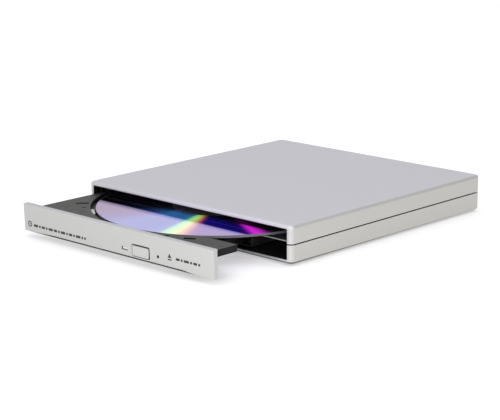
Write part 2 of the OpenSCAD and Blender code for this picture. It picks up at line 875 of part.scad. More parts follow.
module latch_spring() {
    color(steel) on_tray() translate(pivot) difference() {
        ring(3.4, 2.6, latch_z + latch_t + 0.15, latch_z + latch_t + 1.4);
    }
}

module solenoid_frame() {
    color(steel) on_tray() difference() {
        block([7.6, solenoid_y - 3.4, tray_low + 0.02], [18.4, solenoid_y + 3.4, 10.2]);
        block([8.2, solenoid_y - 4, tray_low + 0.6], [17.8, solenoid_y + 4, 9.6]);
        shaft_x([5, solenoid_y, solenoid_z], plunger_d + 0.3, 16);
    }
}

module eject_solenoid() {
    color([0.7, 0.35, 0.15]) on_tray() difference() {
        shaft_x([8.3, solenoid_y, solenoid_z], 3.5, 9.4);
        shaft_x([7, solenoid_y, solenoid_z], plunger_d + 0.3, 12);
    }
}

module solenoid_plunger() {
    color(steel) on_tray() {
        shaft_x([12, solenoid_y, solenoid_z], plunger_d, 11.6);
        translate([pivot.x, solenoid_y, 0]) pillar(1, latch_z - 0.2, solenoid_z + 0.5);
        block([pivot.x - 2, solenoid_y - 0.6, solenoid_z - 0.4],
              [pivot.x + 0.5, solenoid_y + 0.6, solenoid_z + 0.5]);
    }
}

module eject_rod() {
    color([0.85, 0.85, 0.8]) on_tray() shaft_y([push_x, 112, push_z], 2.4, 14.8);
}

module eject_rod_spring() {
    color(steel) on_tray() for (i = [0:5]) difference() {
        shaft_y([push_x, 98 + 2.3 * i, push_z], 2.3, 0.4);
        shaft_y([push_x, 97 + 2.3 * i, push_z], 1.6, 3);
    }
}

top_cover();
bottom_cover();
rubber_feet();
case_screws();
bridge_board();
bridge_chips();
bridge_connector();
cable_receptacle();
bridge_board_screws();
drive_chassis();
drive_lid();
lid_screws();
drive_screws();
main_board();
main_board_chips();
drive_connector();
tray_ribbon();
left_guide();
right_guide();
catch_post();
left_rail();
right_rail();
tray();
tray_bezel();
light_pipe();
front_board();
indicator_light();
eject_switch();
bottom_shield();
shield_screws();
eject_button();
traverse_frame();
damper_bushes();
traverse_screws();
spindle_motor();
guide_rods();
rod_clamps();
sled_motor();
eject_solenoid();
solenoid_frame();
latch_pin();
latch_spring();
turntable();
hub_claws();
friction_ring();
disc();
lead_screw();
pickup_body();
pickup_cover();
laser_unit();
pickup_ribbon();
lens_holder();
objective_lens();
latch_lever();
solenoid_plunger();
eject_rod();
eject_rod_spring();
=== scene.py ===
"""Looks of the slim external optical drive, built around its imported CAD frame.

Lengths in the shape functions are millimetres; everything is turned to metres as it becomes an object.
X runs along the front, the front faces -Y, and Z is up, as in the frame.
"""
import json
import math

import bmesh
import bpy
from mathutils import Matrix, Vector


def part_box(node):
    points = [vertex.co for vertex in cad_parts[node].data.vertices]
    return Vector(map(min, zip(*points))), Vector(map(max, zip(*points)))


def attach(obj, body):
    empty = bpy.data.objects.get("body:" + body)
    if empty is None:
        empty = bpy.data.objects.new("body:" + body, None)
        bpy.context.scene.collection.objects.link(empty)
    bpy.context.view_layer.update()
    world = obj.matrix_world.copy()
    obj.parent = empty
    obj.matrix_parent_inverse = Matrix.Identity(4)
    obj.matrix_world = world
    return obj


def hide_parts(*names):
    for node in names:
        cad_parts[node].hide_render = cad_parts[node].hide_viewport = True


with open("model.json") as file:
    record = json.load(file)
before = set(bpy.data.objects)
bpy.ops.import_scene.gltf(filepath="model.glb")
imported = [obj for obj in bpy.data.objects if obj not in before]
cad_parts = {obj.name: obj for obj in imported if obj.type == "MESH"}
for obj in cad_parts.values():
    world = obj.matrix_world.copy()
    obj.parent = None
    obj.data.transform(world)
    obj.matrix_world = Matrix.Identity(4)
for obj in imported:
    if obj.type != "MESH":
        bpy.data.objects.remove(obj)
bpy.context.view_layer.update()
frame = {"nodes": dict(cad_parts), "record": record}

MM = 0.001
TAU = 2 * math.pi

# Case covers
SPLIT = 10              # height of the parting line
CORNER = 2.6            # radius of the upright corners
EDGE = 1.4              # radius of the long edges
WALL = 2.1
ROOF = 1.7
FLOOR = 1.8
SLOT_HALF = 66.0
SLOT_Z = (2.6, 17.1)
SLOT_ROUND = 0.4        # rounding of the slot's rim
RIM = 2.4               # depth of the rim around the slot
ARC_STEPS = 8
POST_X = 58             # screw posts, from the middle
POST_INSET = 7.5        # screw posts, from the back
FOOT_RADIUS = 4.5
SIDE_PAINTED_LIGHT = (0.967, 0.946, 0.894)   # painted light: the sides are painted a little warmer and darker than the top, as the light falls on them
STEP_X = 41             # where the drive steps up to its shallow wing

# Bezel, in x and z
BUTTON = (18, 6.8, 10.9, 5)             # middle, width and height
BUTTON_ROOM = (0.35, 0.7, 0.25, 0.65)   # room left, right, below and above the button
WINDOW = (7.5, 6.8, 4.1, 1.6)           # middle, width and height
PINHOLE = (29.5, 6.8, 1.5)              # middle and diameter
BEZEL_LEAN = 0.5                        # how far the face's foot lies behind its top

# Disc
DISC_THICK = 1.2
DISC_BORE = 7.5         # radius of the centre hole


def node_box(node):
    """Lowest and highest corner of a CAD node, in millimetres."""
    low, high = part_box(node)
    return low / MM, high / MM


# ---------- camera, light and floor ----------

CAMERA_AT = (0.54888, -0.58359, 0.20385)
YAW, PITCH, ROLL = (math.radians(a) for a in (43.424, 13.859, -0.268))
LENS = 118.3


def make_camera():
    back = Vector((math.sin(YAW) * math.cos(PITCH), -math.cos(YAW) * math.cos(PITCH), math.sin(PITCH)))
    side = Vector((math.cos(YAW), math.sin(YAW), 0))
    up = back.cross(side)
    right = math.cos(ROLL) * side + math.sin(ROLL) * up
    up = -math.sin(ROLL) * side + math.cos(ROLL) * up
    camera = bpy.data.objects.new("camera", bpy.data.cameras.new("camera"))
    camera.data.lens = LENS
    camera.data.sensor_width = 36
    camera.matrix_world = Matrix.Translation(CAMERA_AT) @ Matrix((right, up, back)).transposed().to_4x4()
    bpy.context.scene.collection.objects.link(camera)
    bpy.context.scene.camera = camera


def area_light(name, at, target, size, watts, color):
    data = bpy.data.lights.new(name, "AREA")
    data.shape = "RECTANGLE"
    data.size, data.size_y = size
    data.energy = watts
    data.color = color
    light = bpy.data.objects.new(name, data)
    light.location = at
    light.visible_camera = False
    light.rotation_euler = (Vector(target) - Vector(at)).to_track_quat("-Z", "Y").to_euler()
    bpy.context.scene.collection.objects.link(light)


def make_studio():
    scene = bpy.context.scene
    scene.view_settings.view_transform = "Standard"
    world = bpy.data.worlds.new("studio")
    world.use_nodes = True
    background = world.node_tree.nodes["Background"]
    background.inputs["Color"].default_value = (1, 0.995, 0.945, 1)
    background.inputs["Strength"].default_value = 0.78
    scene.world = world
    area_light("top_light", (-0.25, 0.1, 1.0), (0, 0, 0), (1.1, 1.1), 4.2, (0.53, 0.535, 1))
    area_light("front_light", (0.22, -0.37, 0.09), (0.03, -0.08, 0.01), (0.14, 0.1), 0.6, (1, 1, 0.98))
    bm = bmesh.new()
    bmesh.ops.create_grid(bm, x_segments=1, y_segments=1, size=6)
    floor = link(bm, "floor", 1)
    floor.data.materials.append(floor_material())


# ---------- mesh helpers ----------

def link(bm, name, scale=MM):
    """Turns a bmesh into a linked object."""
    bmesh.ops.recalc_face_normals(bm, faces=bm.faces)
    bm.transform(Matrix.Scale(scale, 4))
    mesh = bpy.data.meshes.new(name)
    bm.to_mesh(mesh)
    bm.free()
    obj = bpy.data.objects.new(name, mesh)
    bpy.context.scene.collection.objects.link(obj)
    return obj


def modifier(obj, kind, **settings):
    added = obj.modifiers.new(kind.lower(), kind)
    for key, value in settings.items():
        setattr(added, key, value)


def round_edges(obj, width, segments=3, angle=40):
    """Small round edges with clean shading. width is in millimetres."""
    for polygon in obj.data.polygons:
        polygon.use_smooth = True
    modifier(obj, "BEVEL", width=width * MM, segments=segments, limit_method="ANGLE",
             angle_limit=math.radians(angle), miter_outer="MITER_ARC", use_clamp_overlap=True)
    modifier(obj, "WEIGHTED_NORMAL", keep_sharp=True, weight=80)


def bake(obj):
    """Applies the modifiers that are on obj so far."""
    bpy.context.view_layer.update()
    done = bpy.data.meshes.new_from_object(obj.evaluated_get(bpy.context.evaluated_depsgraph_get()))
    obj.modifiers.clear()
    old, obj.data = obj.data, done
    done.name = obj.name
    bpy.data.meshes.remove(old)


def boolean(obj, tools, operation):
    """Cuts every tool from obj, or joins it on, and removes the tools."""
    for tool in tools:
        modifier(obj, "BOOLEAN", object=tool, operation=operation, solver="EXACT")
    bake(obj)
    for tool in tools:
        bpy.data.objects.remove(tool)


def close_loft(bm, rings, caps=True):
    """Skins closed rings of equal length, and caps the first and the last."""
    count = len(rings[0])
    for a, b in zip(rings, rings[1:]):
        for i in range(count):
            j = (i + 1) % count
            bm.faces.new((a[i], a[j], b[j], b[i]))
    if caps:
        bm.faces.new(rings[0][::-1])
        bm.faces.new(rings[-1])


def circle(radius, count, at=(0, 0)):
    return [(at[0] + radius * math.cos(TAU * i / count),
             at[1] + radius * math.sin(TAU * i / count)) for i in range(count)]


def rectangle(low, high):
    """Corners of a rectangle, in the plane of the first two numbers."""
    return [(low[0], low[1]), (high[0], low[1]), (high[0], high[1]), (low[0], high[1])]


def box(low, high):
    """Box between two corners."""
    bm = bmesh.new()
    close_loft(bm, [[bm.verts.new((x, y, z)) for x, y in rectangle(low, high)] for z in (low[2], high[2])])
    return link(bm, "tool")


def bar(start, end, radius, count=48):
    """Round bar between two points."""
    start, end = Vector(start), Vector(end)
    turn = (end - start).to_track_quat("Z", "Y").to_matrix().to_4x4()
    bm = bmesh.new()
    rings = [[bm.verts.new((x, y, z)) for x, y in circle(radius, count)] for z in (0, (end - start).length)]
    close_loft(bm, rings)
    bm.transform(Matrix.Translation(start) @ turn)
    return link(bm, "tool")


def lathe(profile, name, at=(0, 0), count=192):
    """Turned solid: profile is a closed outline of (radius, height) that stays off the axis."""
    bm = bmesh.new()
    rings = []
    for i in range(count):
        c, s = math.cos(TAU * i / count), math.sin(TAU * i / count)
        rings.append([bm.verts.new((at[0] + r * c, at[1] + r * s, z)) for r, z in profile])
    close_loft(bm, rings + [rings[0]], caps=False)
    return link(bm, name)


def join(objects, name):
    """One object from several."""
    bm = bmesh.new()
    for obj in objects:
        bm.from_mesh(obj.data)
        bpy.data.objects.remove(obj)
    return link(bm, name, 1)


def finish_piece(obj, body, slot, *nodes):
    """Gives a piece its material and its CAD body, and hides the nodes that it stands for."""
    obj.data.materials.clear()
    obj.data.materials.append(material_for(slot))
    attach(obj, body)
    if nodes:
        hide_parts(*nodes)


# ---------- materials ----------

class Shader:
    """One Principled material whose detail comes from procedural nodes in object space."""

    def __init__(self, name, color, roughness, metallic=0.0, **sockets):
        self.material = bpy.data.materials.new(name)
        self.material.use_nodes = True
        self.tree = self.material.node_tree
        self.shader = self.tree.nodes["Principled BSDF"]
        self.shader.inputs["Base Color"].default_value = (*color, 1)
        self.shader.inputs["Roughness"].default_value = roughness
        self.shader.inputs["Metallic"].default_value = metallic
        for socket, value in sockets.items():
            self.shader.inputs[socket.replace("_", " ")].default_value = value
        self.place = self.node("ShaderNodeTexCoord").outputs["Object"]
        self.normal = None

    def node(self, kind, inputs=None, **settings):
        made = self.tree.nodes.new(kind)
        for key, value in settings.items():
            setattr(made, key, value)
        for key, value in (inputs or {}).items():
            if isinstance(value, bpy.types.NodeSocket):
                self.tree.links.new(value, made.inputs[key])
            else:
                made.inputs[key].default_value = value
        return made

    def stretched(self, scale, turn=0.0):
        """Object coordinates scaled per axis, after a turn about Z."""
        return self.node("ShaderNodeMapping", {"Vector": self.place, "Scale": scale,
                                               "Rotation": (0, 0, turn)}).outputs["Vector"]

    def noise(self, size, detail=2.0, vector=None):
        """Noise with features about size millimetres across."""
        return self.node("ShaderNodeTexNoise", {"Vector": vector or self.place, "Scale": 1 / (size * MM),
                                                "Detail": detail}).outputs["Fac"]

    def cells(self, size, vector=None, output="Distance"):
        """Voronoi cells about size millimetres across."""
        return self.node("ShaderNodeTexVoronoi", {"Vector": vector or self.place,
                                                  "Scale": 1 / (size * MM)}).outputs[output]

    def ramp(self, factor, stops):
        """Colour ramp from (position, colour) stops."""
        made = self.node("ShaderNodeValToRGB", {"Fac": factor})
        elements = made.color_ramp.elements
        while len(elements) < len(stops):
            elements.new(0.5)
        for element, (position, color) in zip(elements, stops):
            element.position = position
            element.color = (*color, 1)
        return made.outputs["Color"]

    def axes(self):
        """X, Y and Z of object space."""
        return self.node("ShaderNodeSeparateXYZ", {"Vector": self.place}).outputs

    def math(self, operation, a, b=0.0):
        return self.node("ShaderNodeMath", {0: a, 1: b}, operation=operation).outputs[0]

    def both(self, first, *others):
        """Product of masks."""
        for other in others:
            first = self.math("MULTIPLY", first, other)
        return first

    def either(self, first, *others):
        """Largest of masks."""
        for other in others:
            first = self.math("MAXIMUM", first, other)
        return first

    def span(self, value, low, high):
        """Maps 0..1 to low..high."""
        return self.node("ShaderNodeMapRange", {"Value": value, "To Min": low, "To Max": high}).outputs["Result"]

    def ease(self, value, start, end):
        """0 at start and 1 at end, both in millimetres."""
        return self.node("ShaderNodeMapRange", {"Value": value, "From Min": start * MM,
                                                "From Max": end * MM}).outputs["Result"]

    def mix(self, factor, a, b, blend="MIX"):
        made = self.node("ShaderNodeMix", data_type="RGBA", blend_type=blend)
        for index, value in ((0, factor), (6, a), (7, b)):
            if isinstance(value, bpy.types.NodeSocket):
                self.tree.links.new(value, made.inputs[index])
            elif index == 0:
                made.inputs[0].default_value = value
            else:
                made.inputs[index].default_value = (*value, 1)
        return made.outputs[2]

    def color(self, socket):
        self.tree.links.new(socket, self.shader.inputs["Base Color"])
        return self

    def rough(self, socket, low, high):
        self.tree.links.new(self.span(socket, low, high), self.shader.inputs["Roughness"])
        return self

    def bump(self, height, depth, strength=1.0):
        """Adds a height map, depth millimetres from 0 to 1."""
        inputs = {"Height": height, "Distance": depth * MM, "Strength": strength}
        if self.normal:
            inputs["Normal"] = self.normal
        self.normal = self.node("ShaderNodeBump", inputs).outputs["Normal"]
        self.tree.links.new(self.normal, self.shader.inputs["Normal"])
        return self


def tint(color, factor):
    return tuple(min(1.0, c * factor) for c in color)


def floor_material():
    """Lit sheet: it glows a little, so that shadows on it stay pale."""
    s = Shader("floor", (0.67, 0.67, 0.67), 0.9, Emission_Color=(0.96, 0.96, 1, 1), Emission_Strength=0.42)
    return s.color(s.ramp(s.noise(60), [(0, (0.69, 0.69, 0.655)), (1, (0.71, 0.71, 0.675))])).material


def within(s, low, high):
    """1 inside a box of object space given in millimetres, 0 outside."""
    axes = s.axes()
    inside = 1.0
    for axis, a, b in zip("XYZ", low, high):
        for operation, edge in (("GREATER_THAN", a), ("LESS_THAN", b)):
            inside = s.both(s.math(operation, axes[axis], edge * MM), inside)
    return inside


def case_finish(name, color):
    """Silver outside; the moulding's own black plastic where no paint reaches.

    Painted light lies over the paint: the sides are painted warmer and darker than the top, with painted shade
    along their upper edges; a painted highlight runs along the lip over the slot and painted shade on the front
    just under the slot; and a dark stripe of painted contact shadow, thinner towards the back, runs round the
    foot.
    """
    low, high = node_box("bottom_cover")[0], node_box("top_cover")[1]
    s = paint(name, color, 0.05, 0.42, 0.2)

    slot_low, slot_high = SLOT_Z[0] - 0.35, SLOT_Z[1] + 0.35
    seam = 0.45         # how deep paint reaches into the parting line
    bare = s.either(*(within(s, (low.x + x, low.y + y, slot_low), (high.x - x, high.y - y, slot_high))
                      for x, y in ((WALL - 0.2, 0.5), (seam, CORNER), (CORNER, seam))))

    x, y, z = (s.axes()[axis] for axis in "XYZ")
    front = s.ease(y, low.y + 2.2, low.y + 1.2)
    behind = s.math("SUBTRACT", 1.0, front)
    below_top = s.ease(z, high.z - 0.05, high.z - 0.9)
    # Band just under the top edge: painted shade on the sides, and at the front the band of the painted lip
    # highlight.
    edge = s.both(s.ease(z, high.z - 0.02, high.z - 0.5), s.ease(z, high.z - 2, high.z - 1.1))
    # Painted highlight along the lip over the slot, brighter towards +X.
    lip = s.both(edge, front, s.span(s.ease(x, low.x, 10), 0.35, 1))
    # Painted shade on the front just under the slot, fading towards both ends.
    sill = s.both(s.ease(z, SLOT_Z[0] + 0.6, SLOT_Z[0]), front,
                  s.ease(s.math("ABSOLUTE", x), high.x - 4, high.x - 14))
    # Painted contact shadow: a dark stripe round the foot, thinner towards the back.
    foot_shadow_top = s.span(s.ease(y, high.y, low.y), (low.z + 0.2) * MM, (low.z + 1.05) * MM)
    line = s.both(s.math("LESS_THAN", z, foot_shadow_top), 0.85)

    # Painted light on the paint: warmer, darker sides, then the shade band, the lip highlight, the shade under the
    # slot and the foot shadow; black plastic inside.
    paint_and_painted_light = s.mix(s.both(below_top, behind), s.painted, s.mix(1.0, s.painted, SIDE_PAINTED_LIGHT, "MULTIPLY"))
    for mask, tone in ((s.both(edge, 0.7, behind), tint(color, 0.74)), (lip, (0.62, 0.61, 0.66)),
                       (sill, tint(color, 0.62)), (line, (0.03, 0.03, 0.03)), (bare, (0.008, 0.008, 0.009))):
        paint_and_painted_light = s.mix(mask, paint_and_painted_light, tone)
    return s.color(paint_and_painted_light)


def bezel_finish(name, color):
    """Silver face; black plastic at the back, painted shade inside the pinhole, and along the foot a tapering dark
    band of bare black plastic that paints the contact shadow.
    """
    low, high = node_box("tray_bezel")
    s = paint(name, color, 0.035, 0.45, 0.1)
    axes = s.axes()
    # Painted contact shadow along the foot, tapering off towards both ends.
    foot_shadow_taper = s.math("MINIMUM", s.ease(axes["X"], low.x + 1, low.x + 22),
                   s.ease(axes["X"], high.x - 10, high.x - 20))
    foot = s.math("LESS_THAN", axes["Z"], s.span(foot_shadow_taper, low.z * MM, (low.z + 0.8) * MM))
    x, z, d = PINHOLE
    # Painted shade inside the pinhole.
    hole = within(s, (x - d, face_y(z) + 0.2, z - d), (x + d, high.y + 1, z + d))
    back = within(s, (low.x + 0.6, high.y - 0.4, 0), (high.x - 0.6, high.y + 1, high.z - 0.6))
    return s.color(s.mix(s.either(foot, hole, back), s.painted, (0.012, 0.012, 0.012)))


def button_finish(name, color):
    """Silver face on a black moulding; its black sides, seen in the gap round the cap, stand in for the shade
    there as painted shade.
    """
    front = node_box("eject_button")[0].y
    s = paint(name, color, 0.035, 0.42, 0.1)
    # Black sides seen in the gap: painted shade in the gap round the cap.
    sides = within(s, (-80, front + 0.32, 0), (80, front + 20, 20))
    return s.color(s.mix(sides, s.painted, (0.01, 0.01, 0.01)))


def sheet_finish(name, color):
    """Zinc-coated sheet, painted black along the front edges of the lid and of the deep part: painted shade at the
    front of the drive.
    """
    lid, chassis = node_box("drive_lid")[0], node_box("drive_chassis")[0]
    s = metal(name, color, 0.32)
    # Painted shade: the front edges are painted black.
    lid_edge_shade = within(s, (-80, lid.y - 1, lid.z - 0.5), (80, lid.y + 3, lid.z + 2))
    deep_edge_shade = within(s, (-80, chassis.y - 1, 0), (STEP_X, chassis.y + 3, lid.z))
    return s.color(s.mix(s.either(lid_edge_shade, deep_edge_shade), s.tone, (0.03, 0.03, 0.03)))


def paint(name, color, flake, roughness, metallic):
    """Silver paint on moulded plastic: fine flake, faint orange peel and uneven gloss."""
    s = Shader(name, color, roughness, metallic, Specular_IOR_Level=0.5)
    flakes = s.cells(0.16, output="Color")
    base = s.ramp(flakes, [(0, tint(color, 1 - flake)), (1, tint(color, 1 + flake))])
    s.painted = s.mix(s.noise(35, 3), base, s.mix(0.5, base, tint(color, 0.96)))
    s.color(s.painted)
    s.rough(s.noise(9, 4), roughness - 0.05, roughness + 0.06)
    s.bump(s.noise(1.1, 2), 0.004, 0.35)
    return s.bump(s.noise(0.22, 1), 0.002, 0.3)


def moulded(name, color, roughness, grain=0.35, depth=0.012, variation=0.12, ior=1.5):
    """Moulded plastic with a spark-eroded grain."""
    s = Shader(name, color, roughness, IOR=ior)
    s.color(s.ramp(s.noise(6, 4), [(0.25, tint(color, 1 - variation)), (0.75, tint(color, 1 + variation))]))
    s.rough(s.noise(2.5, 3), roughness - 0.08, roughness + 0.08)
    return s.bump(s.noise(grain, 3), depth, 0.5)


def tray_finish(name, color):
    """Dark moulding with duller flanks."""
    low, high = node_box("tray")
    s = moulded(name, color, 0.4, 0.3, 0.006, ior=1.36)
    middle = within(s, (low.x + 0.3, low.y - 1, low.z - 1), (high.x - 0.3, high.y + 1, high.z + 1))
    s.tree.links.new(s.span(middle, 0.18, 0.5), s.shader.inputs["Specular IOR Level"])
    return s


def metal(name, color, roughness, stretch=(1, 12, 12), grain=0.5, variation=0.08):
    """Rolled or ground metal with fine lines along X and faint handling marks."""
    s = Shader(name, color, roughness, 1.0)
    lines = s.noise(grain, 3, s.stretched(stretch))
    s.tone = s.ramp(lines, [(0.2, tint(color, 1 - variation)), (0.8, tint(color, 1 + variation))])
    s.color(s.tone)
    s.rough(s.mix(0.5, s.noise(7, 4), lines), roughness - 0.08, roughness + 0.12)
    return s.bump(lines, 0.003, 0.35)


def rubber(name, color):
    """Matt rubber with a little dust."""
    s = moulded(name, color, 0.75, grain=0.25, depth=0.02, variation=0.2)
    dust = s.noise(1.5, 5)
    s.color(s.ramp(dust, [(0.3, tint(color, 0.8)), (0.6, color), (0.85, tint(color, 1.6))]))
    return s


def circuit(name, color):
    """Solder mask over copper traces, with tinned pads."""
    s = Shader(name, color, 0.35, 0.0, Coat_Weight=0.3)
    tracks = s.cells(1.6, s.stretched((1, 2.4, 1), 0.785))
    lines = s.ramp(tracks, [(0.34, tint(color, 0.8)), (0.4, tint(color, 1.5)), (0.46, color)])
    pads = s.ramp(s.cells(2.7), [(0.085, (0.62, 0.6, 0.5)), (0.11, (0, 0, 0))])
    s.color(s.mix(s.math("GREATER_THAN", pads, 0.1), lines, (0.62, 0.6, 0.52)))
    return s.bump(tracks, 0.02, 0.3)


def windings(name, color):
    """Enamelled wire wound round X."""
    s = Shader(name, color, 0.28, 0.9)
    turns = s.node("ShaderNodeTexWave", {"Vector": s.place, "Scale": 900.0, "Distortion": 0.4},
                   bands_direction="X").outputs["Fac"]
    s.color(s.ramp(turns, [(0.1, tint(color, 0.35)), (0.6, color), (1, tint(color, 1.3))]))
    return s.bump(turns, 0.05, 0.8)


def film(name, color):
    """Flat cable: conductors under amber film."""
    s = Shader(name, color, 0.3, 0.0, Coat_Weight=0.4)
    lines = s.node("ShaderNodeTexWave", {"Vector": s.place, "Scale": 160.0},
                   bands_direction="X").outputs["Fac"]
    s.color(s.ramp(lines, [(0.35, tint(color, 0.55)), (0.5, color), (1, tint(color, 1.25))]))
    return s.bump(lines, 0.03, 0.4)


def clear(name, color, roughness, transmission):
    """Clear or milky plastic."""
    s = Shader(name, color, roughness, 0.0, Transmission_Weight=transmission, IOR=1.5)
    s.color(s.ramp(s.noise(3, 2), [(0, tint(color, 0.95)), (1, color)]))
    return s.bump(s.noise(1.2), 0.003, 0.2)


def material_recipes():
    """A maker for each material slot of the record."""
    steel, dark = (0.58, 0.58, 0.57), (0.012, 0.012, 0.013)
    return {
        "case_paint": lambda n: case_finish(n, (0.54, 0.54, 0.545)),
        "bezel_paint": lambda n: bezel_finish(n, (0.472, 0.472, 0.464)),
        "button_paint": lambda n: button_finish(n, (0.485, 0.485, 0.478)),
        "foot_rubber": lambda n: rubber(n, (0.02, 0.02, 0.021)),
        "screw_steel": lambda n: metal(n, steel, 0.3),
        "black_screw": lambda n: metal(n, (0.06, 0.06, 0.065), 0.4),
        "board_green": lambda n: circuit(n, (0.015, 0.12, 0.045)),
        "chip_black": lambda n: moulded(n, dark, 0.5, 0.2, 0.006),
        "socket_black": lambda n: moulded(n, dark, 0.45, 0.3, 0.008),
        "socket_steel": lambda n: metal(n, (0.62, 0.62, 0.6), 0.25),
        "sheet_steel": lambda n: sheet_finish(n, steel),
        "ribbon": lambda n: film(n, (0.42, 0.17, 0.03)),
        "guide_plastic": lambda n: moulded(n, dark, 0.4),
        "rail_steel": lambda n: metal(n, (0.035, 0.035, 0.038), 0.45),
        "tray_plastic": lambda n: tray_finish(n, (0.009, 0.009, 0.0095)),
        "clear_plastic": lambda n: clear(n, (0.66, 0.66, 0.65), 0.35, 0.1),
        "light_chip": lambda n: clear(n, (0.85, 0.85, 0.6), 0.3, 0.2),
        "motor_steel": lambda n: metal(n, (0.5, 0.5, 0.5), 0.35),
        "copper": lambda n: windings(n, (0.75, 0.28, 0.1)),
        "damper_rubber": lambda n: rubber(n, (0.015, 0.015, 0.015)),
        "hub_plastic": lambda n: moulded(n, (0.02, 0.02, 0.022), 0.4),
        "sled_metal": lambda n: metal(n, (0.4, 0.41, 0.42), 0.5, (2, 2, 2), 1.2, 0.15),
        "gold_can": lambda n: metal(n, (0.8, 0.58, 0.25), 0.25),
        "lens_glass": lambda n: clear(n, (0.16, 0.15, 0.18), 0.2, 0.3),
        "rod_steel": lambda n: metal(n, (0.75, 0.75, 0.75), 0.14, (1, 30, 30), 0.4, 0.04),
        "disc_mirror": disc_material,
        "nylon": lambda n: moulded(n, (0.62, 0.6, 0.54), 0.45),
    }


def material_for(slot):
    """The material made here for a slot, under the slot's own name."""
    if slot not in bpy.data.materials or not bpy.data.materials[slot].get("made_here"):
        made = material_recipes()[slot](slot + "_look").material
        if slot in bpy.data.materials:
            bpy.data.materials[slot].name = slot + "_packed"
        made.name = slot
        made["made_here"] = True
    return bpy.data.materials[slot]


# ---------- case covers ----------

def quarter(steps=ARC_STEPS):
    return [math.pi / 2 * i / steps for i in range(steps + 1)]


def outer_arc(half, depth):
    """(x, rise) along the long edge's rounding, in the section depth behind an end face."""
    top_angle = math.acos(1 - min(depth, EDGE) / EDGE)
    arc = []
    for i in range(ARC_STEPS + 1):
        angle = top_angle * i / ARC_STEPS
        inset = EDGE * (1 - math.cos(angle))
        if depth < CORNER:
            across = math.sqrt(max(0, (CORNER - inset) ** 2 - (CORNER - depth) ** 2))
            arc.append((half - CORNER + across, EDGE * math.sin(angle)))
        else:
            arc.append((half - inset, EDGE * math.sin(angle)))
    return arc


def square_arc(half, radius):
    """The same number of points around a plain corner."""
    return [(half - radius + radius * math.cos(a), radius * math.sin(a)) for a in quarter()]


def case_sections(half, front, back, edge_z, slot_z, cavity_z):
    """Sections of one cover as (y, arc, z of the arc's foot), from the back round to the inside.

    The arcs rise away from the seam, so both covers share this.
    """
    depths = sorted({round(EDGE * (1 - math.cos(a)), 5) for a in quarter()}
                    | {round(CORNER * (1 - math.cos(a)), 5) for a in quarter(10)})
    sections = [(back - d, outer_arc(half, d), edge_z) for d in depths]
    sections += [(front + d, outer_arc(half, d), edge_z) for d in reversed(depths)]
    for a in quarter(5):
        out = SLOT_ROUND * (1 - math.sin(a))
        sections.append((front + SLOT_ROUND * (1 - math.cos(a)),
                         square_arc(SLOT_HALF + out, 0.5 + out), slot_z - 0.5))
    sections.append((front + RIM, square_arc(SLOT_HALF, 0.5), slot_z - 0.5))
    for y in (front + RIM, back - WALL):
        sections.append((y, square_arc(half - WALL, 0.6), cavity_z - 0.6))
    return sections


def case_shell(name, seam_z, sections, up):
    """One cover: half of a hollow box, open along the seam, with the wall closed there."""
    bm = bmesh.new()
    rows = []
    for y, arc, foot_z in sections:
        points = [(arc[0][0], y, seam_z)]
        points += [(x, y, foot_z + rise if up else -foot_z - rise) for x, rise in arc]
        points += [(-x, y, z) for x, _, z in reversed(points)]
        rows.append([bm.verts.new(point) for point in points])
    for a, b in zip(rows, rows[1:]):
        for i in range(len(a) - 1):
            bm.faces.new((a[i], a[i + 1], b[i + 1], b[i]))
    bm.faces.new(rows[0])
    bm.faces.new(rows[-1])
    bm.faces.new([row[0] for row in rows] + [row[-1] for row in reversed(rows)])
    bmesh.ops.remove_doubles(bm, verts=bm.verts, dist=1e-4)
    bmesh.ops.dissolve_degenerate(bm, edges=bm.edges, dist=1e-5)
    return link(bm, name)


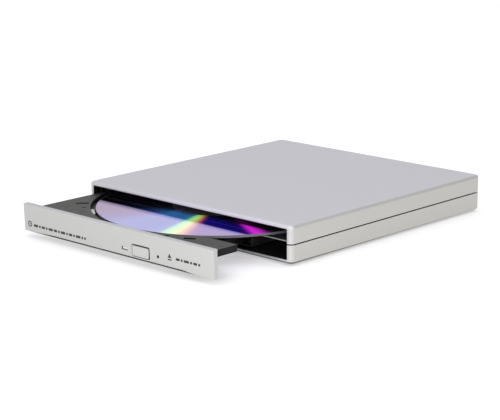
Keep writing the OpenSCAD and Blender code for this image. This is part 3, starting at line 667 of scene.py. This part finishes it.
def make_case():
    top_low, top_high = node_box("top_cover")
    half, front, back = ends = top_high.x, top_low.y, top_high.y
    roof, ground = top_high.z, node_box("bottom_cover")[0].z
    seam_low = 2 * SPLIT - top_low.z
    post_y = back - POST_INSET

    top = case_shell("top_shell", top_low.z,
                     case_sections(*ends, roof - EDGE, SLOT_Z[1], roof - ROOF), True)
    ribs = [box((x - 0.6, front + 6, 16.45), (x + 0.6, back - 18, roof - ROOF + 0.3)) for x in (-40, 0, 40)]
    posts = [bar((x, post_y, top_low.z + 1.4), (x, post_y, roof - ROOF + 0.3), 2.5) for x in (-POST_X, POST_X)]
    boolean(top, ribs + posts, "UNION")
    round_edges(top, 0.18, 3)
    finish_piece(top, "case", "case_paint", "top_cover")

    bottom = case_shell("bottom_shell", seam_low,
                        case_sections(*ends, -(ground + EDGE), -SLOT_Z[0], -(ground + FLOOR)), False)
    inside = half - WALL
    lip = [box((side * (inside - 0.6) - 0.55, front + 4.4, seam_low - 2.5),
               (side * (inside - 0.6) + 0.55, back - WALL - 0.1, seam_low + 1.3)) for side in (-1, 1)]
    bearers = [box((x - 0.6, front + 6, ground + 1.5), (x + 0.6, back - 18, 3.6)) for x in (-50, -20, 12, 36)]
    posts = [bar((x, post_y, ground + 1.5), (x, post_y, seam_low + 1.5), 2.7) for x in (-POST_X, POST_X)]
    boolean(bottom, lip + bearers + posts, "UNION")
    feet_low, feet_high = node_box("rubber_feet")
    cuts = [bar((x, y, ground - 1), (x, y, ground + 0.6), FOOT_RADIUS + 0.25)
            for x in (feet_low.x + FOOT_RADIUS, feet_high.x - FOOT_RADIUS)
            for y in (feet_low.y + FOOT_RADIUS, feet_high.y - FOOT_RADIUS)]
    head_radius = 2.1
    cuts += [bar((x, y, ground - 1), (x, y, z), head_radius)
             for x, y, z in ((-POST_X, post_y, 4.2), (POST_X, post_y, 4.2),
                             (-56, front + 60, 1.6), (30, front + 116, 1.6))]
    cuts += [bar((x, post_y, ground), (x, post_y, 12), 1.15) for x in (-POST_X, POST_X)]
    socket_low, socket_high = node_box("cable_receptacle")
    gap = 0.2
    cuts.append(box((socket_low.x - gap, back - 4, socket_low.z - gap),
                    (socket_high.x + gap, back + 1, socket_high.z + gap)))
    boolean(bottom, cuts, "DIFFERENCE")
    round_edges(bottom, 0.18, 3)
    finish_piece(bottom, "case", "case_paint", "bottom_cover")


def make_feet():
    """Domed rubber feet with a moulded ring, set in their recesses."""
    low, high = node_box("rubber_feet")
    dome_radius, dome_height, axis = 4.2, 0.34, 0.02
    dome = [(dome_radius * math.cos(a) if a < math.pi / 2 else axis, dome_height * (1 - math.sin(a)))
            for a in quarter(6)]
    profile = [(axis, 1.4), (FOOT_RADIUS, 1.4), (FOOT_RADIUS, 0.62), (dome_radius, 0.5)] + dome
    feet = join([lathe(profile, "foot", (x, y), 64)
                 for x in (low.x + FOOT_RADIUS, high.x - FOOT_RADIUS)
                 for y in (low.y + FOOT_RADIUS, high.y - FOOT_RADIUS)], "feet")
    round_edges(feet, 0.08, 2, 50)
    finish_piece(feet, "case", "foot_rubber", "rubber_feet")


# ---------- bezel, button and window ----------

def round_outline(corners, radii, steps=6):
    """Convex outline with each corner rounded by its own radius."""
    points = []
    for i, (corner, radius) in enumerate(zip(corners, radii)):
        here = Vector(corner)
        before = (Vector(corners[i - 1]) - here).normalized()
        after = (Vector(corners[(i + 1) % len(corners)]) - here).normalized()
        half_angle = math.acos(max(-1, min(1, before.dot(after)))) / 2
        centre = here + (before + after).normalized() * radius / math.sin(half_angle)
        start = here + before * radius / math.tan(half_angle) - centre
        sweep = -(math.pi - 2 * half_angle) if before.cross(after) > 0 else math.pi - 2 * half_angle
        for k in range(steps + 1):
            points.append(tuple(centre + Matrix.Rotation(sweep * k / steps, 2) @ start))
    return points


def inset(corners, distance):
    """Moves every side of a convex outline inwards."""
    centre = sum((Vector(c) for c in corners), Vector((0, 0))) / len(corners)
    lines = []
    for i, corner in enumerate(corners):
        a, b = Vector(corner), Vector(corners[(i + 1) % len(corners)])
        normal = Vector((-(b - a).y, (b - a).x)).normalized()
        if normal.dot(centre - a) < 0:
            normal = -normal
        lines.append((a + normal * distance, b - a))
    moved = []
    for (p, d), (q, e) in zip([lines[-1]] + lines[:-1], lines):
        t = (q - p).cross(e) / d.cross(e)
        moved.append(tuple(p + d * t))
    return moved


def pillow(name, corners, radii, x_low, x_high, end_round):
    """Bar along X over a (y, z) outline, with its ends rounded as well."""
    bm = bmesh.new()
    ends = [(end_round * (1 - math.cos(a)), end_round * (1 - math.sin(a))) for a in quarter(6)]
    places = [(x_low + along, cut) for along, cut in ends]
    places += [(x_high - along, cut) for along, cut in reversed(ends)]
    rings = []
    for x, cut in places:
        outline = round_outline(inset(corners, cut), [max(r - cut, 0.02) for r in radii])
        rings.append([bm.verts.new((x, y, z)) for y, z in outline])
    close_loft(bm, rings)
    return link(bm, name)


def along_y(outline, low, high, name="tool"):
    """Prism along Y over an (x, z) outline."""
    bm = bmesh.new()
    rings = [[bm.verts.new((x, y, z)) for x, z in outline] for y in (low, high)]
    close_loft(bm, rings)
    return link(bm, name)


def rounded_box_outline(x, z, w, h, r, steps=6):
    """Rounded rectangle round its middle."""
    corners = rectangle((x - w / 2, z - h / 2), (x + w / 2, z + h / 2))
    return round_outline(corners, [r] * 4, steps)


def face_y(z):
    """Y of the bezel's leaning face at a height."""
    low, high = node_box("tray_bezel")
    return low.y + BEZEL_LEAN * (high.z - z) / (high.z - low.z)


def make_bezel():
    """Leaning face plate with openings for the button, the window and the pinhole."""
    low, high = node_box("tray_bezel")
    corners = [(low.y, high.z), (high.y, high.z), (high.y, low.z), (low.y + BEZEL_LEAN, low.z)]
    bezel = pillow("bezel", corners, [0.3, 0.25, 0.25, 0.3], low.x, high.x, 0.45)
    x, z, w, h = BUTTON
    left, right, below, above = BUTTON_ROOM
    cuts = [along_y(rounded_box_outline(x + (right - left) / 2, z + (above - below) / 2, w + left + right,
                                        h + below + above, 0.7), low.y - 1, high.y + 1)]
    x, z, w, h = WINDOW
    cuts.append(along_y(rounded_box_outline(x, z, w, h, 0.25), low.y - 1, high.y + 1))
    x, z, d = PINHOLE
    cuts.append(bar((x, low.y - 1, z), (x, high.y + 1, z), d / 2))
    boolean(bezel, cuts, "DIFFERENCE")
    round_edges(bezel, 0.1, 2, 40)
    finish_piece(bezel, "tray", "bezel_paint", "tray_bezel")


def make_button():
    """Cap that leans like the bezel's face, with its stem."""
    x, z, w, h = BUTTON
    low, high = node_box("eject_button")
    foot, top = z - h / 2, z + h / 2
    foot_y = low.y + face_y(foot) - face_y(top)
    corners = [(low.y, top), (high.y - 1, top), (high.y - 1, foot), (foot_y, foot)]
    button = pillow("button_cap", corners, [0.4, 0.2, 0.2, 0.4], x - w / 2, x + w / 2, 0.4)
    stem = bar((x, high.y - 1.2, z), (x, high.y, z), 1.0)
    boolean(button, [stem], "UNION")
    round_edges(button, 0.05, 2, 40)
    finish_piece(button, "button", "button_paint", "eject_button")


def make_window():
    """Milky light pipe set back in a dark liner; the liner's opening sits up and to the right, so the liner shows
    as painted shade along the window's left and bottom.
    """
    x, z, w, h = WINDOW
    low, high = node_box("light_pipe")
    front = face_y(z)
    liner = along_y(rounded_box_outline(x, z, w - 0.04, h - 0.04, 0.22),
                    front + 0.06, front + 1.6, "window_liner")
    # The opening sits off-centre, so the dark liner shows as painted shade at the left and bottom.
    opening = rounded_box_outline(x + 0.15, z + 0.12, w - 0.55, h - 0.4, 0.12)
    boolean(liner, [along_y(opening, front - 1, front + 3)], "DIFFERENCE")
    round_edges(liner, 0.03, 1)
    finish_piece(liner, "tray", "socket_black")
    recess = 0.25
    pipe_low, pipe_high = z - h / 2 + 0.34, z + h / 2 - 0.1
    corners = [(front + recess, pipe_high), (high.y, pipe_high), (high.y, pipe_low), (front + recess, pipe_low)]
    pipe = pillow("window_pipe", corners, [0.1] * 4, x - w / 2 + 0.45, x + w / 2 - 0.15, 0.1)
    finish_piece(pipe, "tray", "clear_plastic", "light_pipe")


def raised_print(outlines, name):
    """Flat printed shapes, each an (x, z) outline list, laid on the leaning face."""
    bm = bmesh.new()
    for outline in outlines:
        rings = [[bm.verts.new((x, face_y(z) + depth, z)) for x, z in outline] for depth in (-0.012, 0.05)]
        close_loft(bm, rings)
    return link(bm, name)


def ring_pieces(x, z, outer, inner, count=24):
    """A ring as quads, because an outline has no hole."""
    return [[(x + r * math.cos(TAU * (i + k) / count), z + r * math.sin(TAU * (i + k) / count))
             for r, k in ((outer, 0), (outer, 1), (inner, 1), (inner, 0))] for i in range(count)]


def dashes(at, z, lengths, height, radius):
    """A broken line from x = at."""
    gap = 0.75
    outlines = []
    for length in lengths:
        outlines.append(rounded_box_outline(at + length / 2, z, length, height, radius, 4))
        at += length + gap
    return outlines


def make_marks():
    """Plain pictograms in place of any words: a disc with a broken line, and the eject sign."""
    disc_at = (-60.4, 6.7)
    marks = ring_pieces(*disc_at, 1.5, 0.95) + [circle(0.42, 16, disc_at)]
    marks += dashes(-57.6, 6.35, (3.2, 1.2, 2.4, 1.2, 3.2, 2.4, 1.2, 3.2, 1.2, 2.4, 1.2, 3.2, 1.2, 1.2), 1.25, 0.4)
    marks += [[(36, 7.7), (38.4, 7.7), (37.2, 9.7)], rectangle((36, 6.6), (38.4, 7.2))]
    marks += dashes(41.2, 7.9, (2.4, 1.2, 3.2, 1.2, 2.4, 1.2), 1.15, 0.35)
    finish_piece(raised_print(marks, "bezel_marks"), "tray", "socket_black")


# ---------- disc and hub ----------

def make_disc():
    """Mirrored data annulus between a clear hub ring and a clear rim."""
    low, high = node_box("disc")
    at = ((low.x + high.x) / 2, (low.y + high.y) / 2)
    bottom, top = high.z - DISC_THICK, high.z
    outer = (high.x - low.x) / 2
    data_in, data_out, soft = 22.6, outer - 0.3, 0.25
    mirror = lathe([(data_in, bottom), (data_out, bottom), (data_out, top), (data_in, top)],
                   "data_annulus", at, 360)
    place_origin(mirror, (at[0], at[1], top))
    flat_shade(mirror)
    finish_piece(mirror, "spindle", "disc_mirror", "disc")

    rim = [(outer - soft + soft * math.cos(a), top - soft + soft * math.sin(a)) for a in quarter(5)]
    rim = [(data_out, bottom)] + [(r, bottom + top - z) for r, z in reversed(rim)] + rim + [(data_out, top)]
    edge = lathe(rim, "disc_rim", at, 360)
    flat_shade(edge, 30)
    finish_piece(edge, "spindle", "lens_glass")

    profile = [(DISC_BORE, bottom + 0.15), (DISC_BORE, top - 0.15), (7.65, top), (16.6, top), (16.75, top - 0.06),
               (17.6, top - 0.06), (17.75, top), (data_in, top), (data_in, bottom),
               (17.6, bottom), (17.45, bottom - 0.2), (16.75, bottom - 0.2), (16.6, bottom), (7.65, bottom)]
    hub = lathe(profile, "disc_hub", at, 192)
    flat_shade(hub, 30)
    finish_piece(hub, "spindle", "lens_glass")


def place_origin(obj, at):
    """Moves the object's origin, so that its object coordinates start there."""
    shift = Vector(at) * MM
    obj.data.transform(Matrix.Translation(-shift))
    obj.location = shift


def flat_shade(obj, degrees=15):
    """Flat faces stay flat right up to their rounded edges."""
    for polygon in obj.data.polygons:
        polygon.use_smooth = True
    obj.data.set_sharp_from_angle(angle=math.radians(degrees))
    modifier(obj, "WEIGHTED_NORMAL", keep_sharp=True, weight=100)


def disc_material(name):
    """Mirror-like data side: grey-violet reflection over dark diffraction colours painted in radial sectors, a
    painted reflection in the base colour that also glows through the emission.

    The angles are in degrees about the disc's middle, from +X towards +Y.
    """
    s = Shader(name, (0.02, 0.03, 0.08), 0.06, 0.0, IOR=12, Specular_Tint=(0.84, 0.7, 0.95, 1))
    x, y, z = (s.axes()[axis] for axis in "XYZ")
    turn = s.math("FRACT", s.math("ADD", s.math("DIVIDE", s.math("ARCTAN2", y, x), TAU), 0.5))
    # Painted reflection: diffraction colours by angle, laid into the base colour.
    painted_wedges = [(-180, (0.004, 0.005, 0.02)), (-150, (0.002, 0.002, 0.004)), (-128, (0.01, 0.02, 0.05)),
              (-112, (0.04, 0.14, 0.45)), (-100, (0.1, 0.4, 0.9)), (-84, (0.06, 0.34, 0.9)),
              (-73.5, (0.08, 0.4, 0.9)), (-71.5, (0.5, 0.9, 0.7)), (-68.5, (0.8, 1, 0.6)),
              (-65.5, (1, 1, 0.45)), (-62.5, (1, 0.7, 0.4)), (-58.5, (0.4, 0.05, 0.35)),
              (-55, (0.02, 0.008, 0.4)),
              (-33, (0.02, 0.01, 0.35)), (-28.8, (0.8, 0.04, 1)), (-24, (0.5, 0.03, 0.6)),
              (-20, (0.05, 0.01, 0.06)), (0, (0.004, 0.005, 0.02))]
    radius = s.node("ShaderNodeVectorMath", {0: s.place}, operation="LENGTH").outputs["Value"]
    centre_y = (node_box("disc")[0].y + node_box("disc")[1].y) / 2
    # Painted shadow of the slot's lip: towards the hub the colours right of the bright wedge go dark along a
    # straight cut at this y.
    lit_y = -46 - centre_y
    lit_outward = s.ease(y, lit_y, lit_y - 1.3)

    def painted_fan(stops):
        """Painted diffraction colours by angle; right of the bright wedge they fade into painted shadow along a
        straight cut under the slot.
        """
        whole, shaded_hubward = ([((degrees + 180) / 360, tint(color, fade if degrees > -57 else 1))
                           for degrees, color in stops] for fade in (1, 0.05))
        return s.mix(lit_outward, s.ramp(turn, shaded_hubward), s.ramp(turn, whole))

    tracks = s.node("ShaderNodeTexNoise", {"W": s.math("MULTIPLY", radius, 1 / MM), "Scale": 1.3,
                                           "Detail": 4.0}, noise_dimensions="1D").outputs["Fac"]
    s.color(s.mix(s.both(tracks, 0.3), painted_fan(painted_wedges), (0, 0, 0.01)))
    # Painted reflection that glows: diffraction colours put into the emission, on the top face only.
    glowing_streaks = [(-180, (0, 0, 0)), (-114, (0, 0, 0)), (-100, (0, 0.005, 0.02)), (-80, (0, 0.01, 0.02)),
               (-73.5, (0.01, 0.04, 0.02)), (-71.5, (0.04, 0.26, 0.08)), (-68.5, (0.09, 0.42, 0.06)),
               (-65.5, (0.22, 0.36, 0.01)), (-62.5, (0.22, 0.12, 0)), (-58.5, (0.07, 0, 0)),
               (-56, (0, 0, 0.02)), (-31.5, (0, 0, 0.02)),
               (-28.8, (0.52, 0.01, 0.5)), (-26, (0.34, 0.01, 0.34)), (-22, (0, 0, 0)), (180, (0, 0, 0))]
    top_face = s.math("GREATER_THAN", z, -0.05 * MM)
    s.tree.links.new(s.mix(top_face, (0, 0, 0), painted_fan(glowing_streaks)), s.shader.inputs["Emission Color"])
    s.shader.inputs["Emission Strength"].default_value = 1.0
    s.rough(s.noise(14, 3), 0.015, 0.035)
    return s


def make_hub():
    """Turntable with its raised spigot, three sprung claws and friction ring."""
    low, high = node_box("turntable")
    at = ((low.x + high.x) / 2, (low.y + high.y) / 2)
    seat = node_box("disc")[1].z - DISC_THICK
    cap = [(4.2 + 3.2 * math.cos(a), high.z - 1.1 + 1.1 * math.sin(a)) for a in quarter(6)]
    axis, spigot, deck = 0.02, DISC_BORE - 0.05, seat - 0.3
    profile = [(axis, low.z), (1, low.z), (1, 9.9), (12, 9.9), (12, 10.9), (14, 10.9), (14, deck),
               (13.75, deck), (13.75, deck - 0.02), (10.4, deck - 0.02), (10.4, deck), (spigot, deck)]
    profile += [(spigot, high.z - 1.2)] + cap + [(3.6, high.z), (3.4, high.z - 0.5), (1.6, high.z - 0.5),
                                               (1.5, high.z - 0.2), (axis, high.z - 0.2)]
    table = lathe(profile, "turntable_body", at, 128)
    slots = [turned(box((4.6, -1.6, seat), (8, 1.6, high.z + 2)), at, turn) for turn in (0, 120, 240)]
    boolean(table, slots, "DIFFERENCE")
    round_edges(table, 0.12, 2, 38)
    finish_piece(table, "spindle", "hub_plastic", "turntable")


def turned(obj, at, degrees):
    """Turns a tool about Z and puts it at a place in plan."""
    place = Matrix.Translation(Vector((*at, 0)) * MM)
    obj.data.transform(place @ Matrix.Rotation(math.radians(degrees), 4, "Z"))
    return obj


# ---------- carried-over nodes ----------

def dress_node(node, slot, width):
    """Keeps a CAD node, with round edges as modifiers and a material with detail."""
    obj = frame["nodes"][node]
    for place in obj.material_slots:
        place.material = material_for(slot)
    modifier(obj, "WELD", merge_threshold=0.002 * MM)
    modifier(obj, "DECIMATE", decimate_type="DISSOLVE", angle_limit=math.radians(0.5))
    round_edges(obj, width, 2, 35)


def dress_nodes():
    """Dresses every CAD node that no piece made here stands for."""
    widths = {"drive_chassis": 0.12, "drive_lid": 0.1, "bottom_shield": 0.1}
    for row in frame["record"]["subparts"]:
        if not frame["nodes"][row["node"]].hide_render:
            dress_node(row["node"], row["material_slot"], widths.get(row["node"], 0.08))


# ---------- build ----------

make_camera()
make_studio()
make_case()
make_feet()
make_bezel()
make_button()
make_window()
make_marks()
make_disc()
make_hub()
dress_nodes()
